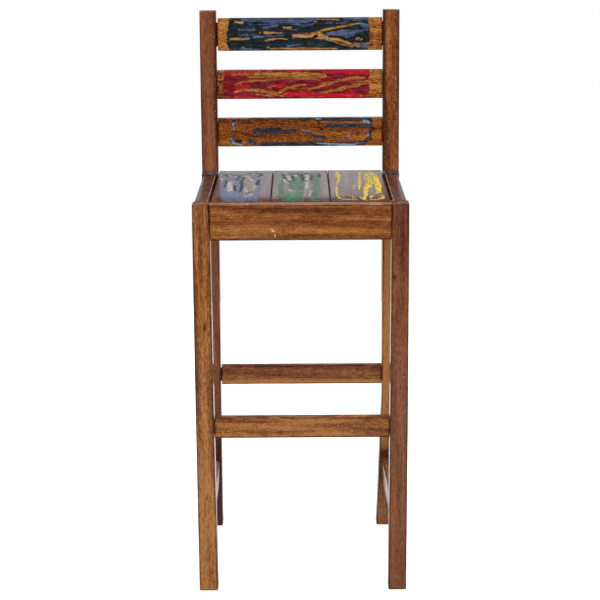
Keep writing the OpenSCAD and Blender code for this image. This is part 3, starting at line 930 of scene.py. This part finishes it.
def blue_plank_paint(piece, local):
    """Blue-grey, rubbed through to grey in two places, with black and white scuffs."""
    x, y = plank_places(local, 31)
    cover = between(x, y, [(-46, 324), (-50, 250), (-46, 130), (-42, 65), (-36, 30), (-28, 8)],
                    [(30, 324), (33, 240), (34, 120), (30, 8)])
    worn = strokes(x, y, [
        (13, 15, (-26, 236), (-27, 170), (-23, 116)), (18, 28, (4, 296), (8, 240)),
        (26, 26, (8, 240), (14, 150), (14, 80)), (7, 8, (-34, 318), (-30, 286)),
    ])
    pale = strokes(x, y, [
        (8, 9, (-27, 232), (-28, 180)), (9, 7, (-26, 180), (-23, 122)),
        (5, 4, (0, 300), (11, 266), (20, 236)), (4, 5, (7, 52), (13, 68), (18, 86)),
        (4, 4, (-20, 300), (-14, 268)), (3, 3, (16, 312), (22, 322)), (3, 3, (-38, 300), (-34, 280)),
        (3, 3, (-48, 270), (-44, 240)), (2.5, 3, (22, 190), (20, 130)), (3, 3, (4, 160), (8, 110)),
    ])
    dark = strokes(x, y, [
        (4, 6, (4, 334), (20, 337), (30, 330)), (5, 4, (30, 330), (33, 306), (27, 290)),
        (5, 5, (-41, 308), (-34, 286)), (4, 4, (-26, 314), (-17, 306)), (3, 3, (-12, 300), (-16, 250)),
        (3, 4, (-2, 290), (-6, 230)), (4, 3, (-6, 230), (-3, 170), (-4, 110)),
        (3, 3, (27, 250), (26, 190)), (3, 3, (-36, 236), (-35, 170)), (3, 3, (-17, 180), (-14, 120)),
        (3, 3, (8, 100), (20, 110)), (3, 3, (-48, 330), (-30, 322)),
    ])
    put_paint(piece, {"paint": np.minimum(cover, 1.2 - worn), "paint2": pale + 0.8,
                      "paint3": dark + 1.4})
    relief(piece, local, 0.3 * smooth(-cover) + 0.2 * smooth(worn) + 0.4 * smooth(dark))


def green_plank_paint(piece, local):
    """Two green bands with a bare one between, scuffed black and white at the back."""
    x, y = plank_places(local, 37)
    left = strokes(x, y, [
        (8, 9, (-33, 296), (-37, 240), (-38, 150)), (9, 13, (-38, 150), (-37, 62)),
        (36, 38, (-9, 318), (-8, 190)), (34, 30, (-8, 190), (-8, 140)),
        (30, 34, (-22, 90), (-20, 60)), (34, 30, (-20, 60), (-18, 12)), (12, 12, (0, 200), (-1, 12)),
    ])
    right = strokes(x, y, [(19, 20, (31, 326), (29, 180)), (20, 17, (29, 180), (26, 10))])
    bare = strokes(x, y, [
        (13, 15, (-29, 128), (-16, 127), (-3, 126)), (12, 15, (15, 330), (16, 160)),
        (13, 14, (16, 160), (13, 6)), (8, 9, (-26, 300), (-20, 236)), (5, 5, (-6, 270), (-2, 236)),
    ])
    pale = strokes(x, y, [
        (5, 5, (-27, 300), (-20, 240)), (5, 4, (12, 306), (18, 250)), (3, 3, (10, 250), (18, 300)),
        (4, 3, (14, 220), (12, 150)), (3, 3, (-22, 128), (-5, 127)), (3, 3, (-34, 250), (-26, 210)),
        (3, 3, (-12, 306), (-8, 290)), (2.5, 2.5, (20, 120), (17, 60)),
    ])
    dark = strokes(x, y, [
        (4, 4, (8, 318), (14, 330), (22, 322)), (3, 4, (-36, 322), (-30, 262)),
        (4, 4, (-24, 326), (-6, 328)), (3, 3, (3, 300), (5, 236)), (3, 3, (22, 300), (21, 240)),
        (3, 3, (-16, 290), (-14, 236)), (3, 3, (-28, 232), (-18, 222)), (3, 3, (40, 322), (38, 280)),
        (4, 3, (-4, 310), (4, 316)),
    ])
    green = np.minimum(np.maximum(left, right), 0.5 - bare)
    put_paint(piece, {"paint": green, "paint2": pale + 0.8, "paint3": dark + 1.4})
    relief(piece, local, 0.25 * smooth(-green) + 0.4 * smooth(dark))


def yellow_plank_paint(piece, local):
    """Yellow strokes round the plank's edge and a dry-brushed block on its right."""
    x, y = plank_places(local, 41)
    yellow = strokes(x, y, [
        (7, 10, (-37, 340), (-36, 300)), (11, 8, (-36, 300), (-35, 255)),
        (7, 4, (-35, 255), (-40, 196)), (4, 3.5, (-40, 196), (-43, 124), (-42, 58)),
        (3.5, 5, (-42, 58), (-36, 26), (-28, 18)), (5, 5, (-26, 21), (-16, 22), (-8, 19)),
        (3, 3, (-25, 60), (-18, 56), (-8, 36)), (3, 3, (-24, 64), (-12, 62)),
        (6, 6, (9, 330), (7, 250)), (6, 4, (7, 250), (4, 180), (2, 124)),
        (22, 22, (29, 322), (28, 250)), (21, 18, (28, 250), (25, 160)), (12, 9, (20, 180), (14, 120)),
        (9, 6, (14, 120), (12, 70), (8, 17)), (8, 9, (39, 300), (40, 236)),
        (13, 13, (39, 236), (41, 170)), (12, 10, (41, 170), (38, 88)),
        (5, 8, (20, 17), (32, 16), (41, 28)), (7, 4, (41, 28), (45, 48), (45, 66)),
        (2.5, 2.5, (1, 56), (4, 22), (12, 7)), (3, 3, (-6, 170), (-10, 130)),
        (2.5, 2.5, (-12, 130), (-2, 118)), (3, 3, (24, 60), (20, 30)), (3, 2, (32, 84), (26, 66)),
    ])
    bare = strokes(x, y, [
        (4, 7, (32, 190), (31, 140), (31, 96)), (1.6, 1.6, (22, 330), (20, 200)),
        (1.6, 1.6, (28, 330), (27, 190)), (1.6, 1.6, (34, 326), (32, 200)), (1.4, 1.4, (16, 330), (14, 220)),
    ])
    pale = strokes(x, y, [(3, 4, (-28, 250), (-20, 150)), (3, 3, (-10, 300), (-8, 220)),
                          (3, 3, (16, 100), (26, 110))])
    dark = strokes(x, y, [(2, 2, (-30, 46), (-12, 74), (-4, 50)), (2, 2, (4, 96), (12, 60)),
                          (2, 2, (22, 92), (30, 72))])
    put_paint(piece, {"paint": np.minimum(yellow - 0.4, -bare), "paint2": pale - 0.9,
                      "paint3": dark})
    relief(piece, local, 0.3 * smooth(-yellow))


def plank(name, seed, material, slot, dress):
    """A seat plank, with painted shade along its sides, its rear edge and its rear corners."""
    (x, y, z), (half_x, half_y, b) = middle_and_half(name)
    a = half_x + PLANK_SWELL
    board = Board((x, y - half_y, z), Y, -X, Z, 2 * half_y, -a, a, -b, b)

    def shade(local):
        corner = blobs(local, [(board.length, a, 0.016, 0.012, 0.9),
                               (board.length, -a, 0.016, 0.012, 0.9)])
        rear = 0.5 * smooth((local[:, 0] - board.length + 9 * MM) / (6 * MM))
        sides = smooth((np.abs(local[:, 1]) - a + 3.0 * MM) / (1.6 * MM))
        return np.clip(np.maximum.reduce([corner, rear, sides]), 0, 1)

    wooden(name, board, 1.6 * MM, PLANK, 1.5 * MM, 0.6 * MM, seed, material, slot,
           wear=0.4 * MM, dress=dress, shade=shade,
           # Painted reflection: the front end darker and the rear lighter, as the lacquer mirrors darker and
           # brighter surroundings.
           tone=[(0, 0, 0.055, 1, -0.45), (board.length, 0, 0.2, 1, 0.12)])


# ---------------------------------------------------------------- the stool

def slat_materials():
    """Paints of the top, middle and bottom slat."""
    top = painted_material("paint_teal", BARE, [
        ("paint", (14, 24, 30), (38, 56, 62), (24, 36, 40), 2.0, 1.0, 0.12, 0.4),
        ("paint2", (66, 78, 112), (112, 128, 172), (60, 84, 108), 3.0, 0.8, 0.6, 0.4),
        ("core", (200, 150, 82), (232, 196, 128), (156, 92, 34), 3.4, 0.55, 0.4, 0.7),
        ("paint3", (10, 14, 16), (18, 24, 28), (26, 20, 16), 2.4, 1.0, 0.12, 0.2)],
        paint_rough=0.38)
    middle = painted_material("paint_crimson", BARE, [
        ("paint", (118, 8, 18), (170, 26, 40), (100, 20, 32), 3.3, 1.0, 0.2, 0.3),
        ("paint2", (196, 18, 42), (220, 34, 56), (166, 30, 56), 2.2, 0.9, 0.6, 0.3),
        ("paint3", (100, 30, 46), (132, 52, 78), (92, 20, 28), 2.8, 0.75, 0.8, 0.3),
        ("core", (148, 74, 24), (206, 148, 78), (124, 38, 20), 5.0, 0.7, 0.4, 0.6)],
        paint_rough=0.42)
    bottom = painted_material("paint_slate", BARE_RED, [
        ("paint", (22, 34, 44), (62, 82, 96), (40, 42, 46), 3.6, 0.96, 0.4, 0.3),
        ("paint2", (104, 150, 205), (166, 200, 236), (80, 116, 160), 2.4, 0.9, 0.3,
         0.3),
        ("paint3", (38, 20, 12), (56, 28, 12), (28, 20, 20), 2.4, 0.85, 0.4, 0.5)])
    return top, middle, bottom


def plank_materials():
    """Paints of the left, middle and right plank."""
    finish = dict(paint_rough=0.42, figure=0.9, lacquer=0.05, edging=0.9)
    blue = painted_material("paint_blue", PLANK_WOOD, [
        ("paint", (46, 60, 92), (84, 106, 152), (70, 74, 84), 3.0, 0.9, 0.35, 0.5),
        ("paint2", (150, 142, 134), (196, 188, 176), (110, 104, 102), 3.4, 0.85, 0.3,
         0.6),
        ("paint3", (12, 14, 22), (26, 30, 44), (16, 16, 22), 3.4, 0.9, 0.3, 0.02)],
        **finish)
    green = painted_material("paint_green", PLANK_WOOD, [
        ("paint", (22, 72, 50), (54, 124, 88), (30, 68, 54), 2.8, 0.93, 0.3, 0.4),
        ("paint2", (168, 156, 150), (206, 194, 184), (130, 116, 112), 3.4, 0.85, 0.3,
         0.6),
        ("paint3", (10, 30, 26), (18, 46, 38), (10, 24, 20), 3.4, 0.9, 0.3, 0.02)],
        **finish)
    yellow = painted_material("paint_yellow", PLANK_WOOD, [
        ("paint", (200, 164, 10), (228, 198, 36), (164, 128, 20), 2.6, 1.0, 0.3, 0.2),
        ("paint2", (92, 96, 92), (120, 120, 116), (88, 92, 96), 3.0, 0.6, 0.4, 0.5),
        ("paint3", (30, 22, 14), (60, 50, 20), (26, 20, 18), 3.0, 0.8, 0.4, 0.1)],
        **finish)
    return blue, green, yellow


def make_uprights(teak, teak_red):
    """Legs and posts. The left post and the right leg are redder."""
    # The broad lighter spots on the lower and middle parts of the legs and posts are painted light, lifting
    # the shade that the lamps leave there.
    front_leg("front_leg_left", -1, 2, teak,
              tone=[(0.15, 0, 0.35, 0.05, 0.22), (0.72, 0, 0.08, 0.05, 0.05),
                    (0.5, -0.013, 0.3, 0.005, -0.18), (0.54, 0.003, 0.06, 0.007, 0.3),
                    (0.528, 0.004, 0.008, 0.003, -0.8), (0.3, 0.004, 0.2, 0.006, 0.12)])
    front_leg("front_leg_right", 1, 5, teak_red,
              tone=[(0.3, 0, 0.35, 0.05, 0.12), (0.72, 0, 0.08, 0.05, -0.12),
                    (0.62, -0.008, 0.035, 0.007, 0.35), (0.622, -0.011, 0.006, 0.003, -0.9),
                    (0.45, 0.008, 0.2, 0.005, 0.12), (0.66, 0.004, 0.07, 0.006, -0.2)])
    rear_post("rear_post_left", -1, 7, teak_red,
              tone=[(0.9, 0.002, 0.3, 0.008, 0.06), (0.55, 0, 0.3, 0.05, 0.25),
                    (0.93, 0.015, 0.18, 0.003, -0.7), (0.05, 0, 0.2, 0.05, -0.9)])
    rear_post("rear_post_right", 1, 9, teak,
              tone=[(0.95, 0, 0.25, 0.05, -0.28), (0.95, -0.015, 0.2, 0.003, -0.6),
                    (0.47, 0, 0.26, 0.05, 0.42),
                    (0.16, 0, 0.012, 0.05, -0.8), (0.1, 0, 0.05, 0.05, -0.25)])


def make_cross_members(bar):
    """Aprons, footrest and rear stretcher; bar holds the settings that they share."""
    snug = INNER_X - SNUG_GAP
    foot_left, foot_right = (snug - LEG_FLARE[side] * (1 - FOOTREST_Z / RAIL_Z)
                             for side in (-1, 1))
    cross_member("front_apron", snug, snug, seed=11, shoulder=SHOULDER, dress=chip_and_glint_apron,
                 tone=[(0.17, -0.02, 0.2, 0.012, 0.12), (0.2, 0.012, 0.07, 0.01, -0.2),
                       (0.3, 0.0, 0.05, 0.02, 0.1), (0.05, 0.02, 0.05, 0.02, 0.12)],
                 **dict(bar, counts=APRON, radius=2.4 * MM))
    cross_member("rear_apron", snug, snug, seed=12, shoulder=SHOULDER, **bar)
    # The broad lighter spot on the footrest is painted light.
    cross_member("footrest_front", foot_left, foot_right, seed=13, shoulder=BAR_SHOULDER,
                 shade=top_shade,
                 tone=[(0.16, 0, 0.3, 0.05, 0.34), (0.16, -0.02, 0.5, 0.003, -0.6),
                       (0.06, 0.012, 0.05, 0.004, -0.4), (0.26, 0.007, 0.06, 0.004, -0.4),
                       (0.15, -0.008, 0.07, 0.003, -0.4), (0.3, -0.01, 0.05, 0.01, -0.3)],
                 **bar)
    cross_member("rear_stretcher", snug, snug, seed=14, shoulder=BAR_SHOULDER, shade=top_shade,
                 tone=[(0.16, -0.017, 0.5, 0.006, 0.8), (0.16, 0.012, 0.5, 0.012, -0.15)], **bar)


def make_side_members(bar, teak_red):
    """Rails and stretchers from front to rear; the right stretcher turns to its swept post."""
    for side, word, seed in ((-1, "left", 15), (1, "right", 17)):
        # The rails' darker band along their top edge is painted shade.
        side_member("side_rail_" + word, side, RAIL_T / 2,
                    side * (OUTER_X - RAIL_INSET - RAIL_T / 2), seed=seed, shoulder=SHOULDER,
                    shade=rail_shade, dress=glint_rail, tone=[(0.15, 0.034, 0.3, 0.006, -0.4)],
                    **dict(bar, radius=2.2 * MM, material=teak_red))
        turn, shift = (RIGHT_BAR_TURN, RIGHT_BAR_SHIFT) if side > 0 else (0.0, 0.0)
        side_member("side_stretcher_" + word, side, SIDE_BAR_T / 2,
                    side * (OUTER_X - LEG_W / 2) + shift, turn, seed=seed + 1,
                    shoulder=BAR_SHOULDER, **bar)


def make_cleats(raw):
    """Unlacquered battens under the planks, which fill their CAD boxes."""
    for name in ("front_cleat", "rear_cleat"):
        (_, y, z), (half_x, b, a) = middle_and_half(name)
        board = Board((-half_x, y, z), X, Z, -Y, 2 * half_x, -a, a, -b, b)
        wooden(name, board, 4 * MM, CLEAT, 1.0 * MM, 0.8 * MM, 21, raw, "raw_wood")


def make_back():
    top, middle, bottom = slat_materials()
    snug = (SNUG_GAP, SNUG_GAP)
    slat("back_slat_top", TOP_SLAT_GAPS, 31, top, "slat_paint_teal", top_slat_paint)
    slat("back_slat_middle", snug, 33, middle, "slat_paint_red", middle_slat_paint,
         tone=[(0.006, -0.02, 0.014, 0.012, -0.5), (0.007, 0.005, 0.003, 0.003, -1),
               (0.008, 0.021, 0.008, 0.003, -0.8)])
    slat("back_slat_bottom", snug, 35, bottom, "slat_paint_slate", bottom_slat_paint)


def make_seat():
    blue, green, yellow = plank_materials()
    plank("seat_plank_left", 41, blue, "seat_paint_blue", blue_plank_paint)
    plank("seat_plank_middle", 43, green, "seat_paint_green", green_plank_paint)
    plank("seat_plank_right", 45, yellow, "seat_paint_yellow", yellow_plank_paint)


def finish_screws():
    """The screws keep their CAD meshes and take a better material."""
    steel = steel_material()
    for name in ("plank_screws", "cleat_screws"):
        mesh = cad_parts[name].data
        mesh.materials.clear()
        mesh.materials.append(steel)


def make_stool():
    teak = frame_material("lacquered_teak", TEAK)
    teak_red = frame_material("lacquered_teak_red", TEAK_RED, 0.75)
    raw = frame_material("raw_wood", RAW, 0.8)
    bar = dict(step=2.5 * MM, counts=BAR, radius=1.6 * MM, end_radius=CLOSE_END,
               slot="frame_wood", material=teak)
    make_uprights(teak, teak_red)
    make_cross_members(bar)
    make_side_members(bar, teak_red)
    make_cleats(raw)
    make_back()
    make_seat()
    finish_screws()


# ---------------------------------------------------------------- floor, light, camera

def make_floor():
    """A pale disc: white to look at, and as a bounce light darker in front of the stool."""
    mesh = bpy.data.meshes.new("floor")
    work = bmesh.new()
    bmesh.ops.create_circle(work, cap_ends=True, segments=96, radius=FLOOR_RADIUS)
    work.to_mesh(mesh)
    work.free()
    floor = bpy.data.objects.new("floor", mesh)
    bpy.context.scene.collection.objects.link(floor)
    g = new_material("pale_floor")
    seen = g.add("ShaderNodeLightPath").outputs["Is Camera Ray"]
    place = g.add("ShaderNodeSeparateXYZ", {0: g.add("ShaderNodeTexCoord").outputs["Object"]})
    bounce = g.mix(g.step(place.outputs["Y"], -0.5, 0.5), srgb(150, 148, 144), srgb(225, 225, 228))
    mesh.materials.append(g.end(g.add("ShaderNodeBsdfPrincipled", {
        "Base Color": g.mix(seen, bounce, (0.86, 0.86, 0.86, 1)), "Roughness": 0.9,
        "Specular IOR Level": 0.0, "Emission Color": WHITE,
        "Emission Strength": g.math("MULTIPLY", seen, 0.62)})))


def make_world():
    """White to look at; as light, bright behind and above the stool and dim in front."""
    world = bpy.data.worlds.new("studio")
    bpy.context.scene.world = world
    g = Graph(world)
    way = g.add("ShaderNodeSeparateXYZ", {0: g.add("ShaderNodeTexCoord").outputs["Generated"]})
    behind = g.step(way.outputs["Y"], -0.3, 0.5, 0.1, 0.5)
    above = g.step(way.outputs["Z"], 0.3, 0.9, 0.0, 0.5)
    seen = g.add("ShaderNodeLightPath").outputs["Is Camera Ray"]
    strength = g.math("MAXIMUM", seen, g.math("ADD", behind, above))
    g.end(g.add("ShaderNodeBackground", {"Color": WHITE, "Strength": strength}),
          "ShaderNodeOutputWorld")


def add_softbox(name, place, aim, size, power, mirrored):
    """A rectangular lamp at a place, turned to its aim; mirrored says if gloss shows it."""
    lamp = bpy.data.lights.new(name, "AREA")
    lamp.shape = "RECTANGLE"
    lamp.size, lamp.size_y = size
    lamp.energy = power
    box = bpy.data.objects.new(name, lamp)
    box.location = place
    box.rotation_euler = (Vector(aim) - Vector(place)).to_track_quat("-Z", "Y").to_euler()
    box.visible_glossy = mirrored
    bpy.context.scene.collection.objects.link(box)


def make_lights():
    """Soft light; the two in front don't mirror in the lacquer, which would white it out."""
    add_softbox("overhead", (0, 0.2, 3.2), (0, 0, 0.5), (2.6, 2.6), 60, True)
    add_softbox("front_left", (-2.3, -2.6, 2.0), (0, 0, 0.6), (1.4, 1.8), 50, False)
    add_softbox("front_right", (2.5, -2.4, 1.8), (0, 0, 0.6), (1.4, 1.8), 44, False)


def make_camera():
    """The photo's view: from far in front, a little above, looking slightly down."""
    pitch_sin, pitch_cos = math.sin(CAMERA_PITCH), math.cos(CAMERA_PITCH)
    yaw_sin, yaw_cos = math.sin(CAMERA_YAW), math.cos(CAMERA_YAW)
    ahead = Vector((yaw_sin * pitch_cos, yaw_cos * pitch_cos, -pitch_sin))
    level = Vector((yaw_cos, -yaw_sin, 0))
    above = level.cross(ahead)
    right = math.cos(CAMERA_ROLL) * level + math.sin(CAMERA_ROLL) * above
    up = math.cos(CAMERA_ROLL) * above - math.sin(CAMERA_ROLL) * level
    data = bpy.data.cameras.new("camera")
    data.sensor_width = SENSOR_WIDTH
    data.lens = CAMERA_LENS
    camera = bpy.data.objects.new("camera", data)
    rotation = Matrix((right, up, -ahead)).transposed().to_4x4()
    camera.matrix_world = Matrix.Translation(CAMERA_PLACE) @ rotation
    bpy.context.scene.collection.objects.link(camera)
    bpy.context.scene.camera = camera


make_camera()
make_stool()
make_floor()
make_world()
make_lights()
bpy.context.scene.view_settings.view_transform = "Standard"
